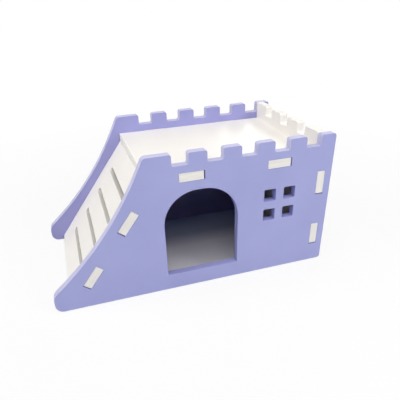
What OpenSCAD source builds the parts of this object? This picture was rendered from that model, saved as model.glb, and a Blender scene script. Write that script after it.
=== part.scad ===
// Hamster hut: a little castle that slots together from five flat boards.
// Origin under the middle, +X towards the end wall, the doorway faces -Y.

/* [Overall size] */
// Length of the side boards, from the tip of the toe to the end-wall end
hut_l = 184; // [170:1:220]
// Width across the outer faces of the two side boards
hut_w = 100; // [70:1:160]
// Height to the top of the battlements
hut_h = 90; // [78:1:110]

/* [Boards] */
// Thickness of the two coloured side boards
side_t = 5; // [3:0.1:8]
// Thickness of the white deck, ramp and end wall
board_t = 5.2; // [3:0.1:7]

/* [Side outline] */
// Length of the level top edge, from the end-wall end to the head of the slope
top_l = 121; // [110:1:135]
// Radius of the hollow curve of the slope
slope_r = 222; // [180:1:400]
// Height at which the slope meets the toe
toe_h = 11.6; // [9:0.1:14]
// Radius of the toe where the slope rolls into it
toe_high_r = 8; // [5:0.5:9]
// Radius of the toe at the floor
toe_low_r = 5; // [1:0.5:6]
// Radius at the head of the slope
head_r = 3; // [1:0.5:5]
// Radius of the two corners at the end-wall end
corner_r = 2; // [0.5:0.5:4]

/* [Battlements] */
// Width of the last merlon of a side board, at the end wall
end_merlon_w = 10.25; // [6:0.25:16]
// Width of a notch
notch_w = 9.75; // [6:0.25:12]
// Depth of a notch
notch_d = 6.8; // [4:0.1:9]
// Distance from one notch of a side board to the next
side_pitch = 21.25; // [20:0.25:30]
// Distance from one notch of the end wall to the next
wall_pitch = 24; // [20:0.25:30]
// Radius of the outer corners of a merlon
merlon_r = 1.5; // [0.5:0.25:3]
// Radius in the bottom corners of a notch
notch_r = 1.2; // [0.5:0.1:2.5]

/* [Doorway and window] */
// Middle of the doorway, from the end-wall end
door_in = 88.3; // [80:0.1:90]
// Width of the doorway
door_w = 47.4; // [30:0.1:52]
// Height of board left between the doorway and the underside of the deck
lintel_h = 5.9; // [2:0.1:16]
// Height of the sill above the floor
sill_h = 11; // [4:0.1:20]
// Width of the flat stretch at the top of the arch
arch_flat = 4.4; // [1:0.1:20]
// Middle of the window, from the end-wall end
window_in = 36.1; // [30:0.1:42]
// Middle of the window, below the underside of the deck
window_drop = 24.3; // [15:0.1:40]
// Width and height of a pane opening
pane = 8; // [5:0.1:10]
// Width of the bars between the panes
bar_w = 5.5; // [3:0.1:8]
// Radius in the corners of the openings
cut_r = 0.8; // [0.4:0.1:2]

/* [Deck and end wall] */
// Depth of the deck's surface below the top of the battlements
deck_drop = 11.7; // [10:0.1:16]
// Distance that the deck's ramp end stands back from the head of the slope
deck_set = 0.7; // [0:0.1:6]
// Distance of the end wall's outer face from the end of the side boards
wall_in = 4.8; // [2:0.1:8]

/* [Ramp] */
// Distance of the ramp's foot edge from the tip of the toe
foot_in = 13; // [9:0.1:18]
// Distance that the head of the ramp stands out past the deck's end
ramp_lip = 0.1; // [0:0.1:1]
// Number of climbing slots
climb_n = 4; // [2:1:8]
// Width of a climbing slot
climb_w = 3.6; // [1.5:0.1:5]
// Distance that the row of climbing slots sits below the middle of the ramp
climb_drop = 0.6; // [0:0.1:3]
// Width of plain board left at each end of a climbing slot
climb_margin = 17; // [8:0.5:25]

/* [Tabs and slots] */
// Length of a tab
tab_l = 15; // [8:0.5:18]
// Middle of the deck's first tab, from the deck's ramp end
deck_tab_head = 26.6; // [18:0.1:32]
// Middle of the deck's second tab, from the end wall
deck_tab_tail = 27.7; // [18:0.1:34]
// Middle of each tab of the ramp, from the nearest end of the ramp
ramp_tab_in = 23.9; // [16:0.1:30]
// Middle of the end wall's lower tab, above the floor
wall_tab_low = 21.3; // [14:0.1:26]
// Middle of the end wall's upper tab, below the top of the battlements
wall_tab_drop = 31.1; // [24:0.1:40]
// Room left beside a tab's faces
tab_gap = 0.1; // [0.05:0.05:0.2]
// Room left at the loose end of a tab
tab_slack = 0.7; // [0.2:0.1:1.2]
// Room left between the head of the ramp and the underside of the deck
ramp_gap = 0.1; // [0.05:0.05:0.3]

/* [Hidden] */
$fn = 360;
// how far a cutter runs past the face it cuts
past = 0.5;

left = -hut_l / 2;
right = hut_l / 2;
inner_w = hut_w - 2 * side_t;

// the slope is an arc of one large circle through the head and the toe
head = [right - top_l, hut_h];
toe = [left, toe_h];
chord = head - toe;
rise = sqrt(pow(slope_r, 2) - pow(norm(chord) / 2, 2));
slope_mid = (head + toe) / 2 + rise * [-chord.y, chord.x] / norm(chord);

// centres of the two rounds that roll the slope into the top and into the toe
head_y = hut_h - head_r;
head_mid = [slope_mid.x + sqrt(pow(slope_r + head_r, 2) - pow(head_y - slope_mid.y, 2)), head_y];
toe_x = left + toe_high_r;
toe_mid = [toe_x, slope_mid.y - sqrt(pow(slope_r + toe_high_r, 2) - pow(toe_x - slope_mid.x, 2))];

wall_inner = right - wall_in - board_t;
wall_tab_zs = [wall_tab_low, hut_h - wall_tab_drop];
deck_top = hut_h - deck_drop;
deck_low = deck_top - board_t;
deck_end = right - top_l + deck_set;
deck_tab_xs = [deck_end + deck_tab_head, wall_inner - deck_tab_tail];

// the ramp leans from its foot edge on the floor to the underside of the deck
ramp_head = [deck_end - ramp_lip, deck_low - ramp_gap];
ramp_foot = [left + foot_in, 0];
lean = ramp_head - ramp_foot;
ramp_l = sqrt(pow(norm(lean), 2) - pow(board_t, 2));
ramp_a = atan2(lean.y, lean.x) - atan2(board_t, ramp_l);
ramp_tab_xs = [-ramp_tab_in, ramp_tab_in - ramp_l];

side_notches = floor((top_l - end_merlon_w) / side_pitch);
wall_notches = floor((inner_w - wall_pitch / 2) / wall_pitch);

// waste outside a square corner of radius r; d points from the corner into the board
module corner_waste(at, d, r) {
    translate(at)
        difference() {
            translate([d.x > 0 ? -past : -r, d.y > 0 ? -past : -r])
                square(r + past);
            translate(r * d)
                circle(r);
        }
}

// waste between the slope and a straight edge, outside a round of radius r at mid
module slope_waste(mid, r, corner, edge) {
    from_slope = (mid - slope_mid) / norm(mid - slope_mid);
    difference() {
        polygon([mid, mid + (r + past) * edge, corner + past * edge, mid - (r + past) * from_slope]);
        translate(mid)
            circle(r);
    }
}

// an upright rectangle centred across x, with rounds at its top and bottom corners
module cut_out(w, low, high, low_r, high_r) {
    difference() {
        translate([-w / 2, low])
            square([w, high - low]);
        for (side = [-1, 1]) {
            corner_waste([side * w / 2, low], [-side, 1], low_r);
            corner_waste([side * w / 2, high], [-side, -1], high_r);
        }
    }
}

// one notch with its rounded bottom and the rounded shoulders of both merlons
module notch(x, top) {
    translate([x, top]) {
        difference() {
            translate([-notch_w / 2, -notch_d])
                square([notch_w, notch_d + past]);
            for (side = [-1, 1])
                corner_waste([side * notch_w / 2, -notch_d], [-side, 1], notch_r);
        }
        for (side = [-1, 1])
            corner_waste([side * notch_w / 2, 0], [side, -1], merlon_r);
    }
}

// slot for a tab that is centred at x; the slack is on the side that d points to
module tab_slot(x, d) {
    translate([x - tab_l / 2 - tab_gap - (d < 0 ? tab_slack : 0), -board_t - tab_gap])
        square([tab_l + 2 * tab_gap + tab_slack, board_t + 2 * tab_gap]);
}

module side_outline() {
    difference() {
        translate([left, 0])
            square([hut_l, hut_h]);
        translate(slope_mid)
            circle(slope_r);
        slope_waste(head_mid, head_r, head, [0, 1]);
        slope_waste(toe_mid, toe_high_r, toe, [-1, 0]);
        corner_waste([left, 0], [1, 1], toe_low_r);
        corner_waste([right, 0], [-1, 1], corner_r);
        corner_waste([right, hut_h], [-1, -1], corner_r);
        for (i = [0 : side_notches - 1])
            notch(right - end_merlon_w - notch_w / 2 - i * side_pitch, hut_h);
    }
}

module tab_slots() {
    translate([0, deck_top])
        for (x = deck_tab_xs)
            tab_slot(x, 1);
    translate(ramp_head)
        rotate(ramp_a)
            for (x = ramp_tab_xs)
                tab_slot(x, -1);
    translate([wall_inner, 0])
        rotate(90)
            for (z = wall_tab_zs)
                tab_slot(z, -1);
}

module doorway() {
    translate([right - door_in, 0])
        cut_out(door_w, sill_h, deck_low - lintel_h, cut_r, (door_w - arch_flat) / 2);
}

module window() {
    step = (pane + bar_w) / 2;
    for (dx = [-step, step], dz = [-step, step])
        translate([right - window_in + dx, deck_low - window_drop + dz])
            cut_out(pane, -pane / 2, pane / 2, cut_r, cut_r);
}

// stands a side outline up with its outer face at y
module side_board(y) {
    translate([0, y, 0])
        rotate([90, 0, 0])
            linear_extrude(side_t)
                difference() {
                    side_outline();
                    tab_slots();
                    children();
                }
}

module front_board() {
    color("#a3a3d6")
        side_board(-inner_w / 2) {
            doorway();
            window();
        }
}

module back_board() {
    color("#9c98d4")
        side_board(hut_w / 2);
}

module deck() {
    color("#f2efea")
        translate([0, 0, deck_low])
            linear_extrude(board_t) {
                translate([deck_end, -inner_w / 2])
                    square([wall_inner - deck_end, inner_w]);
                for (x = deck_tab_xs)
                    translate([x - tab_l / 2, -hut_w / 2])
                        square([tab_l, hut_w]);
            }
}

// one climbing slot across the ramp, with round ends
module climbing_slot(s) {
    half = inner_w / 2 - climb_margin - climb_w / 2;
    translate([-s - climb_w / 2, -half])
        square([climb_w, 2 * half]);
    for (y = [-half, half])
        translate([-s, y])
            circle(climb_w / 2);
}

module ramp() {
    color("#f2efea")
        translate([ramp_head.x, 0, ramp_head.y])
            rotate([0, -ramp_a, 0])
                translate([0, 0, -board_t])
                    linear_extrude(board_t)
                        difference() {
                            union() {
                                translate([-ramp_l, -inner_w / 2])
                                    square([ramp_l, inner_w]);
                                for (x = ramp_tab_xs)
                                    translate([x - tab_l / 2, -hut_w / 2])
                                        square([tab_l, hut_w]);
                            }
                            for (i = [1 : climb_n])
                                climbing_slot(i * ramp_l / (climb_n + 1) + climb_drop);
                        }
}

module end_wall() {
    color("#f2efea")
        translate([wall_inner, 0, 0])
            rotate([90, 0, 90])
                linear_extrude(board_t)
                    difference() {
                        union() {
                            translate([-inner_w / 2, 0])
                                square([inner_w, hut_h]);
                            for (z = wall_tab_zs)
                                translate([-hut_w / 2, z - tab_l / 2])
                                    square([hut_w, tab_l]);
                        }
                        for (i = [0 : wall_notches - 1])
                            notch((i - (wall_notches - 1) / 2) * wall_pitch, hut_h);
                    }
}

front_board();
back_board();
deck();
ramp();
end_wall();
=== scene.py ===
import math

import bmesh
import bpy
from mathutils import Matrix, Vector


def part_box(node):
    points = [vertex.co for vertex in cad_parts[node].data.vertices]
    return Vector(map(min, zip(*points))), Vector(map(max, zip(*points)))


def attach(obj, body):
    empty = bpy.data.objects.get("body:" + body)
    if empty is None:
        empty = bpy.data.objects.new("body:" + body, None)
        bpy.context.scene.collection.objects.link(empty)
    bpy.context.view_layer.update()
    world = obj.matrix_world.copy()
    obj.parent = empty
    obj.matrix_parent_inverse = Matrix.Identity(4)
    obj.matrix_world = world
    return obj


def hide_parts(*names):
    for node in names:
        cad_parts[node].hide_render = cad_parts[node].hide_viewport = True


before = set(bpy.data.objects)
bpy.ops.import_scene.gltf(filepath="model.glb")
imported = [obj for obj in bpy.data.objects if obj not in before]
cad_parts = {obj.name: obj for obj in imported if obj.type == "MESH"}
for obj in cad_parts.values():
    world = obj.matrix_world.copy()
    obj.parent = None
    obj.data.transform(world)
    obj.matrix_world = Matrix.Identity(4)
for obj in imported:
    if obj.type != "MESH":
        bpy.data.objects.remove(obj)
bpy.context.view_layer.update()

mm = 0.001


# camera, solved from the straight edges of the boards

photoCamera = {
    "place": (-0.06370, -0.26607, 0.16478),
    "turn": 17.369,         # degrees to the right of straight at the doorway
    "tilt": 32.867,         # degrees down
    "roll": -1.802,
    "lens": 37.217,
    "sensor": 36.0,
    "shift": (-0.0088, 0.1462),
    "clip": (0.01, 50.0),   # metres
}


def addCamera(settings):
    data = bpy.data.cameras.new("photoCamera")
    data.lens = settings["lens"]
    data.sensor_width = settings["sensor"]
    data.shift_x, data.shift_y = settings["shift"]
    data.clip_start, data.clip_end = settings["clip"]
    camera = bpy.data.objects.new("photoCamera", data)
    bpy.context.scene.collection.objects.link(camera)
    turn = Matrix.Rotation(-math.radians(settings["turn"]), 4, "Z")
    tilt = Matrix.Rotation(math.radians(90.0 - settings["tilt"]), 4, "X")
    roll = Matrix.Rotation(math.radians(settings["roll"]), 4, "Z")
    camera.matrix_world = Matrix.Translation(settings["place"]) @ turn @ tilt @ roll
    bpy.context.scene.camera = camera


addCamera(photoCamera)
print("camera set")


# materials

def linearOf(hexColour):
    channels = [int(hexColour[i:i + 2], 16) / 255.0 for i in (1, 3, 5)]
    linear = [c / 12.92 if c <= 0.04045 else ((c + 0.055) / 1.055) ** 2.4 for c in channels]
    return (*linear, 1.0)


def addNode(material, kind, settings=None, links=None):
    # settings are sockets or properties by name, links are (input name, node, output name)
    tree = material.node_tree
    node = tree.nodes.new(kind)
    for name, value in (settings or {}).items():
        if isinstance(name, int) or name in node.inputs:
            node.inputs[name].default_value = value
        else:
            setattr(node, name, value)
    for name, other, output in links or []:
        tree.links.new(other.outputs[output], node.inputs[name])
    return node


def newMaterial(name):
    material = bpy.data.materials.new(name)
    material.use_nodes = True
    material.node_tree.nodes.clear()
    return material


def colourRamp(material, source, output, stops):
    # stops are pairs of a place from 0 to 1 and a hex colour
    ramp = addNode(material, "ShaderNodeValToRGB", links=[("Fac", source, output)])
    while len(ramp.color_ramp.elements) < len(stops):
        ramp.color_ramp.elements.new(0.5)
    for element, (place, colour) in zip(ramp.color_ramp.elements, stops):
        element.position = place
        element.color = linearOf(colour)
    return ramp


skinPattern = {
    "drift": 38 * mm,       # the dye drifts a little over a few centimetres
    "peel": 1.1 * mm,       # real orange peel is about 0.4 mm, drawn coarser so that it shows
    "peelDepth": 0.05 * mm,
    "peelStrength": 0.12,
    "sheenSpread": 0.05,    # the peel makes the sheen this much sharper and softer
    "ior": 1.53,
}


# pressed skin of the sheet: even colour, a broad soft sheen and a faint orange peel
def foamSkin(name, light, dark, roughness):
    material = newMaterial(name)
    place = addNode(material, "ShaderNodeTexCoord")
    drift = addNode(material, "ShaderNodeTexNoise",
                    {"Scale": 1 / skinPattern["drift"], "Detail": 2.0, "Roughness": 0.5},
                    [("Vector", place, "Object")])
    colour = colourRamp(material, drift, "Fac", [(0.3, dark), (0.7, light)])
    peel = addNode(material, "ShaderNodeTexNoise",
                   {"Scale": 1 / skinPattern["peel"], "Detail": 3.0, "Roughness": 0.55},
                   [("Vector", place, "Object")])
    spread = skinPattern["sheenSpread"]
    sheen = addNode(material, "ShaderNodeMapRange",
                    {"From Min": 0.3, "From Max": 0.7,
                     "To Min": roughness - spread, "To Max": roughness + spread},
                    [("Value", peel, "Fac")])
    bump = addNode(material, "ShaderNodeBump",
                   {"Strength": skinPattern["peelStrength"],
                    "Distance": skinPattern["peelDepth"]},
                   [("Height", peel, "Fac")])
    shader = addNode(material, "ShaderNodeBsdfPrincipled", {"IOR": skinPattern["ior"]},
                     [("Base Color", colour, "Color"), ("Roughness", sheen, "Result"),
                      ("Normal", bump, "Normal")])
    addNode(material, "ShaderNodeOutputMaterial", links=[("Surface", shader, "BSDF")])
    return material


cutPattern = {
    "lines": 0.9 * mm,          # width of the cutter's lines
    "stretch": (25, 25, 1),     # they run on along the edge and change through the sheet
    "cells": 0.35 * mm,         # real foam cells are about 0.1 mm, drawn coarser to show
    "cellDepth": 0.06 * mm,
    "cellStrength": 0.35,
    "roughness": 0.72,
    "ior": 1.5,
}


# a routed edge opens the foam: dull, with fine cells and faint cutter lines along it
def foamCut(name, light, dark, node):
    material = newMaterial(name)
    place = addNode(material, "ShaderNodeTexCoord")
    # the board's largest face shows how the sheet lies, so the lines follow its edges
    across = max(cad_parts[node].data.polygons, key=lambda face: face.area).normal
    lay = Vector((0, 0, 1)).rotation_difference(across).to_euler()
    stretch = addNode(material, "ShaderNodeMapping",
                      {"vector_type": "TEXTURE", "Rotation": lay,
                       "Scale": cutPattern["stretch"]},
                      [("Vector", place, "Object")])
    lines = addNode(material, "ShaderNodeTexNoise",
                    {"Scale": 1 / cutPattern["lines"], "Detail": 2.0, "Roughness": 0.6},
                    [("Vector", stretch, "Vector")])
    colour = colourRamp(material, lines, "Fac", [(0.3, dark), (0.7, light)])
    cells = addNode(material, "ShaderNodeTexVoronoi",
                    {"Scale": 1 / cutPattern["cells"]}, [("Vector", place, "Object")])
    bump = addNode(material, "ShaderNodeBump",
                   {"Strength": cutPattern["cellStrength"], "Distance": cutPattern["cellDepth"]},
                   [("Height", cells, "Distance")])
    shader = addNode(material, "ShaderNodeBsdfPrincipled",
                     {"IOR": cutPattern["ior"], "Roughness": cutPattern["roughness"]},
                     [("Base Color", colour, "Color"), ("Normal", bump, "Normal")])
    addNode(material, "ShaderNodeOutputMaterial", links=[("Surface", shader, "BSDF")])
    return material


satin = 0.42        # roughness of the pressed skin

# lavender foamed PVC, pressed: the soft grey-violet of the front board's faces
lavenderSkin = foamSkin("lavenderFoamedPvcSkin", "#a8acde", "#a1a5d9", satin)

# lavender foamed PVC, pressed, for the back board: the same sheet as the front, its faces
# coloured a little darker and more violet as painted shade
shadedVioletSkin = foamSkin("violetShadedFoamedPvcSkin", "#a1a1d9", "#9a9ad3", satin)

# lavender foamed PVC, routed: the pale chalky rim round the outline of the side boards
lavenderCut = foamCut("lavenderFoamedPvcCut", "#cac9e4", "#bbbadb", "front_board")

# lavender foamed PVC, routed in the doorway, the panes and the slots: a darker copy of the rim's
# material, nearly the colour of the skin, as painted shade in the openings
lavenderShadedOpening = foamCut("lavenderFoamedPvcShadedOpening", "#a6a7df", "#9d9ed8", "front_board")

# white foamed PVC, pressed: a warm white that stays just under paper white
whiteSkin = foamSkin("whiteFoamedPvcSkin", "#f3efe9", "#efebe5", satin)

# white foamed PVC, routed: matt tab ends and notches with a faint grain
deckCut = foamCut("whiteFoamedPvcDeckCut", "#f6f3ee", "#ece9e2", "deck")
rampCut = foamCut("whiteFoamedPvcRampCut", "#f6f3ee", "#ece9e2", "ramp")
endWallCut = foamCut("whiteFoamedPvcEndWallCut", "#f6f3ee", "#ece9e2", "end_wall")
print("materials made")


# boards: each is a copy of its solid with eased edges

sharpAngle = math.radians(50)   # the curves of the outlines turn far less at each step
openingReach = 300 * mm         # every outline is longer round than this, every opening shorter
flatLimit = 0.999               # a face of the sheet looks straight across the board
sideLimit = 0.1                 # a cut side looks along it
skinSlot, cutSlot, openingSlot = 0, 1, 2


def copyOfNode(settings):
    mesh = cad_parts[settings["node"]].data.copy()
    mesh.name = settings["name"]
    mesh.materials.clear()
    for part in ("skin", "cut", "opening"):
        mesh.materials.append(settings[part])
    board = bpy.data.objects.new(settings["name"], mesh)
    bpy.context.scene.collection.objects.link(board)
    bpy.ops.object.select_all(action="DESELECT")
    board.select_set(True)
    bpy.context.view_layer.objects.active = board
    bpy.ops.mesh.customdata_custom_splitnormals_clear()
    bpy.ops.object.mode_set(mode="EDIT")
    bpy.ops.mesh.select_all(action="SELECT")
    bpy.ops.mesh.remove_doubles(threshold=0.001 * mm)
    bpy.ops.mesh.dissolve_limited(angle_limit=math.radians(0.3))
    bpy.ops.object.mode_set(mode="OBJECT")
    bpy.ops.object.shade_smooth()
    return board


def isSharp(edge):
    return edge.calc_face_angle(0.0) > sharpAngle


def isArris(edge):
    return isSharp(edge) and edge.is_convex


def isCorner(edge):
    return isSharp(edge) and not edge.is_convex


def ringOf(edge):
    # the arrises that meet end to end round one opening or outline
    ring, waiting = {edge}, [edge]
    while waiting:
        for vertex in waiting.pop().verts:
            more = [e for e in vertex.link_edges if e not in ring and isArris(e)]
            ring.update(more)
            waiting.extend(more)
    return ring


def isMouth(edge):
    # the mouth of a tab slot has just four arrises
    return len(ringOf(edge)) == 4


def isInner(edge):
    # the edges of the doorway, the panes and the slots
    return sum(e.calc_length() for e in ringOf(edge)) < openingReach


def isFlat(face, across):
    return abs(face.normal.dot(across)) > flatLimit


def selectPart(board, kind, wanted):
    # leaves the board in edit mode with the wanted edges or faces selected
    bpy.ops.object.mode_set(mode="EDIT")
    bpy.ops.mesh.select_mode(type=kind)
    bpy.ops.mesh.select_all(action="DESELECT")
    edit = bmesh.from_edit_mesh(board.data)
    for part in edit.edges if kind == "EDGE" else edit.faces:
        part.select = wanted(part)
    bmesh.update_edit_mesh(board.data)


def markOpenings(board, across):
    # the cut sides of the doorway, the panes and the slots, which take the opening material,
    # painted shade on the lavender boards
    def isOpening(face):
        isSide = abs(face.normal.dot(across)) < sideLimit
        return isSide and any(isArris(edge) and isInner(edge) for edge in face.edges)

    selectPart(board, "FACE", isOpening)
    board.active_material_index = openingSlot
    bpy.ops.object.material_slot_assign()
    bpy.ops.object.mode_set(mode="OBJECT")


def easeEdges(board, wanted, width, slot):
    selectPart(board, "EDGE", lambda edge: isArris(edge) and wanted(edge))
    bpy.ops.mesh.bevel(offset=width, segments=3, profile=0.5, affect="EDGES", material=slot,
                       clamp_overlap=False, loop_slide=False)
    bpy.ops.object.mode_set(mode="OBJECT")


def evenShading(board, across):
    # inner corners stay crisp, and the faces are evenly lit right up to their eased edges
    selectPart(board, "EDGE", isCorner)
    bpy.ops.mesh.mark_sharp()
    bpy.ops.object.mode_set(mode="OBJECT")
    weighted = board.modifiers.new("weighted", "WEIGHTED_NORMAL")
    weighted.weight = 100
    weighted.keep_sharp = True
    bpy.ops.object.modifier_apply(modifier="weighted")
    selectPart(board, "FACE", lambda face: isFlat(face, across))
    bpy.ops.mesh.set_normals_from_faces(keep_sharp=True)
    bpy.ops.object.mode_set(mode="OBJECT")


def finishBoard(settings):
    board = copyOfNode(settings)
    across = max(board.data.polygons, key=lambda face: face.area).normal.copy()
    markOpenings(board, across)
    easeEdges(board, lambda edge: not isInner(edge), settings["arris"], cutSlot)
    # the eased edges of the openings and slot mouths take the opening material too, painted
    # shade on the lavender boards
    easeEdges(board, lambda edge: not isMouth(edge), settings["arris"], openingSlot)
    easeEdges(board, isMouth, settings["mouth"], openingSlot)
    evenShading(board, across)
    for face in board.data.polygons:
        if isFlat(face, across):
            face.material_index = skinSlot
        elif face.material_index == skinSlot:
            face.material_index = cutSlot
    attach(board, "root")
    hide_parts(settings["node"])
    print(settings["name"], "finished with", len(board.data.polygons), "faces")


frontBoard = {
    "name": "frontBoard",
    "node": "front_board",
    "slot": "side_board",
    "arris": 0.2 * mm,      # how far the long edges are eased
    "mouth": 0.15 * mm,     # and the edges of the tab slots
    "skin": lavenderSkin,
    "cut": lavenderCut,
    "opening": lavenderShadedOpening,
}
finishBoard(frontBoard)

backBoard = {
    "name": "backBoard",
    "node": "back_board",
    "slot": "side_board",
    "arris": 0.2 * mm,
    "mouth": 0.15 * mm,
    "skin": shadedVioletSkin,
    "cut": lavenderCut,
    "opening": lavenderShadedOpening,
}
finishBoard(backBoard)

deckBoard = {
    "name": "deckBoard",
    "node": "deck",
    "slot": "white_board",
    "arris": 0.2 * mm,
    "mouth": 0.15 * mm,
    "skin": whiteSkin,
    "cut": deckCut,
    "opening": deckCut,
}
finishBoard(deckBoard)

rampBoard = {
    "name": "rampBoard",
    "node": "ramp",
    "slot": "white_board",
    "arris": 0.2 * mm,
    "mouth": 0.15 * mm,
    "skin": whiteSkin,
    "cut": rampCut,
    "opening": rampCut,
}
finishBoard(rampBoard)

endWallBoard = {
    "name": "endWallBoard",
    "node": "end_wall",
    "slot": "white_board",
    "arris": 0.2 * mm,
    "mouth": 0.15 * mm,
    "skin": whiteSkin,
    "cut": endWallCut,
    "opening": endWallCut,
}
finishBoard(endWallBoard)
print("boards finished")


# floor and light

floorSettings = {
    "size": 6.0,
    "white": "#ededed",         # what the camera sees of the paper's own colour
    # painted shade on the paper in the room, darker and bluer from the front board to the back
    # one
    "paintedRoomShade": [(0.1, "#f4f1f7"), (0.5, "#dedbe6"), (0.68, "#a5acc4"), (0.9, "#a4b0d0")],
    "outside": "#e1e1e1",       # the light that the paper throws back at the boards
    "inside": "#24285a",
    "shadow": 0.15,             # share of the lamps' light in the white paper
    "shadowFade": (0.15, 0.4),  # the share falls to nothing between these distances
    # the room's shade starts and ends under the boards, this far in from the outer faces
    "sideFade": (3 * mm, 1 * mm),
    "wallFade": (8 * mm, 6 * mm),
    "toeFade": (4 * mm, -2 * mm),
}


def backgroundRays(material):
    # the first node gives 1 to rays that should meet plain white, the second names the rays
    rays = addNode(material, "ShaderNodeLightPath")
    seen = addNode(material, "ShaderNodeMath", {"operation": "MAXIMUM"},
                   [(0, rays, "Is Camera Ray"), (1, rays, "Is Glossy Ray")])
    seen = addNode(material, "ShaderNodeMath", {"operation": "MAXIMUM"},
                   [(0, seen, "Value"), (1, rays, "Is Transmission Ray")])
    return seen, rays


def outOfHut(material, axes, settings):
    # 0 on the paper in the hut, 1 past the side boards, the end wall and the toe of the ramp
    high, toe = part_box("back_board")[1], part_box("ramp")[0].x
    across = addNode(material, "ShaderNodeMath", {"operation": "ABSOLUTE"}, [(0, axes, "Y")])
    start, end = settings["sideFade"]
    pastSides = addNode(material, "ShaderNodeMapRange",
                        {"From Min": high.y - start, "From Max": high.y - end},
                        [("Value", across, "Value")])
    start, end = settings["wallFade"]
    pastWall = addNode(material, "ShaderNodeMapRange",
                       {"From Min": high.x - start, "From Max": high.x - end},
                       [("Value", axes, "X")])
    start, end = settings["toeFade"]
    pastToe = addNode(material, "ShaderNodeMapRange",
                      {"From Min": toe + start, "From Max": toe + end},
                      [("Value", axes, "X")])
    free = addNode(material, "ShaderNodeMath", {"operation": "MAXIMUM"},
                   [(0, pastSides, "Result"), (1, pastWall, "Result")])
    return addNode(material, "ShaderNodeMath", {"operation": "MAXIMUM"},
                   [(0, free, "Value"), (1, pastToe, "Result")])


# studio paper: matt and even, white all round the hut, with a soft shadow near it, and painted
# shade on the paper in the room under the deck
def floorMaterial(settings):
    material = newMaterial("whitePaper")
    place = addNode(material, "ShaderNodeTexCoord")
    seen, rays = backgroundRays(material)
    axes = addNode(material, "ShaderNodeSeparateXYZ", links=[("Vector", place, "Object")])
    free = outOfHut(material, axes, settings)

    # the room under the deck stays dark, as its paper throws little light back
    bounce = colourRamp(material, free, "Value",
                        [(0.0, settings["inside"]), (1.0, settings["outside"])])
    lighting = addNode(material, "ShaderNodeBsdfDiffuse", links=[("Color", bounce, "Color")])
    # what the camera sees of the paper in the room is painted shade, darker and bluer towards
    # the back board
    depth = addNode(material, "ShaderNodeMapRange",
                    {"From Min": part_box("front_board")[0].y,
                     "From Max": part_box("back_board")[1].y},
                    [("Value", axes, "Y")])
    paintedRoomShade = colourRamp(material, depth, "Result", settings["paintedRoomShade"])
    shown = addNode(material, "ShaderNodeMixRGB", {"Color2": linearOf(settings["white"])},
                    [("Fac", free, "Value"), ("Color1", paintedRoomShade, "Color")])
    looks = addNode(material, "ShaderNodeBsdfDiffuse", links=[("Color", shown, "Color")])
    paper = addNode(material, "ShaderNodeMixShader",
                    links=[("Fac", rays, "Is Camera Ray"),
                           (1, lighting, "BSDF"), (2, looks, "BSDF")])

    # outside the hut the paper is mostly plain white, and all of it far away
    reach = addNode(material, "ShaderNodeVectorMath", {"operation": "LENGTH"},
                    [(0, place, "Object")])
    near, far = settings["shadowFade"]
    plain = addNode(material, "ShaderNodeMapRange",
                    {"From Min": near, "From Max": far,
                     "To Min": 1 - settings["shadow"], "To Max": 1.0},
                    [("Value", reach, "Value")])
    share = addNode(material, "ShaderNodeMath", {"operation": "MULTIPLY"},
                    [(0, free, "Value"), (1, plain, "Result")])
    share = addNode(material, "ShaderNodeMath", {"operation": "MULTIPLY"},
                    [(0, share, "Value"), (1, seen, "Value")])
    glow = addNode(material, "ShaderNodeEmission", {"Strength": 1.0})
    mixed = addNode(material, "ShaderNodeMixShader",
                    links=[("Fac", share, "Value"), (1, paper, "Shader"),
                           (2, glow, "Emission")])
    addNode(material, "ShaderNodeOutputMaterial", links=[("Surface", mixed, "Shader")])
    return material


def addFloor(settings):
    bpy.ops.object.select_all(action="DESELECT")
    bpy.ops.mesh.primitive_plane_add(size=settings["size"], location=(0, 0, 0))
    floor = bpy.context.object
    floor.name = "paperFloor"
    floor.data.materials.append(floorMaterial(settings))


addFloor(floorSettings)

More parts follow.
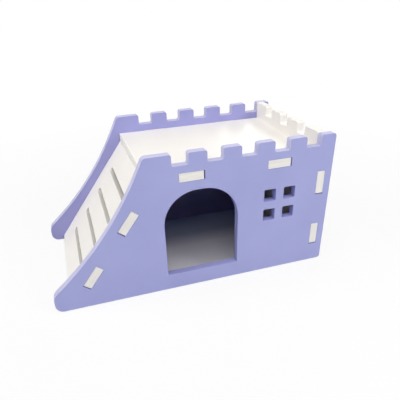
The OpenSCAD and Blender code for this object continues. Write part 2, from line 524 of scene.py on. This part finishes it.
# seven soft boxes, far enough away to leave no hard shadow, with places in metres
lampAim = (0, 0, 40 * mm)
lamps = [
    {"name": "topSoftbox", "place": (-0.1, 0.1, 1.0), "size": 0.6, "watts": 2.1},
    {"name": "leftSoftbox", "place": (-0.85, 0.05, 0.6), "size": 0.6, "watts": 3.9},
    {"name": "topLeftSoftbox", "place": (-0.4, -0.35, 0.9), "size": 0.5, "watts": 2.4},
    {"name": "frontLeftSoftbox", "place": (-0.25, -0.75, 0.8), "size": 0.5, "watts": 1.6},
    {"name": "frontSoftbox", "place": (0.12, -0.5, 0.6), "size": 0.4, "watts": 0.5},
    {"name": "frontRightSoftbox", "place": (0.6, -0.6, 0.5), "size": 0.5, "watts": 3.8},
    {"name": "backSoftbox", "place": (0.6, 0.7, 0.25), "size": 0.6, "watts": 2.8},
]


def addLamp(settings):
    data = bpy.data.lights.new(settings["name"], "AREA")
    data.shape = "DISK"
    data.size = settings["size"]
    data.energy = settings["watts"]
    lamp = bpy.data.objects.new(settings["name"], data)
    bpy.context.scene.collection.objects.link(lamp)
    lamp.location = settings["place"]
    aim = Vector(lampAim) - lamp.location
    lamp.rotation_euler = aim.to_track_quat("-Z", "Y").to_euler()


for lamp in lamps:
    addLamp(lamp)


worldSettings = {
    "horizon": 0.0,         # strength of the room's own light, level with the eye
    "zenith": 0.1,          # and straight above
}


def setWorld(settings):
    world = bpy.data.worlds.new("studio")
    bpy.context.scene.world = world
    world.use_nodes = True
    world.node_tree.nodes.clear()
    seen, _ = backgroundRays(world)
    place = addNode(world, "ShaderNodeTexCoord")
    axes = addNode(world, "ShaderNodeSeparateXYZ", links=[("Vector", place, "Generated")])
    height = addNode(world, "ShaderNodeMapRange",
                     {"To Min": settings["horizon"], "To Max": settings["zenith"]},
                     [("Value", axes, "Z")])
    soft = addNode(world, "ShaderNodeBackground", {"Color": (1, 1, 1, 1)},
                   [("Strength", height, "Result")])
    white = addNode(world, "ShaderNodeBackground", {"Color": (1, 1, 1, 1), "Strength": 1.0})
    mixed = addNode(world, "ShaderNodeMixShader",
                    links=[("Fac", seen, "Value"), (1, soft, "Background"),
                           (2, white, "Background")])
    addNode(world, "ShaderNodeOutputWorld", links=[("Surface", mixed, "Shader")])


setWorld(worldSettings)
bpy.context.scene.view_settings.view_transform = "Standard"
print("light set")
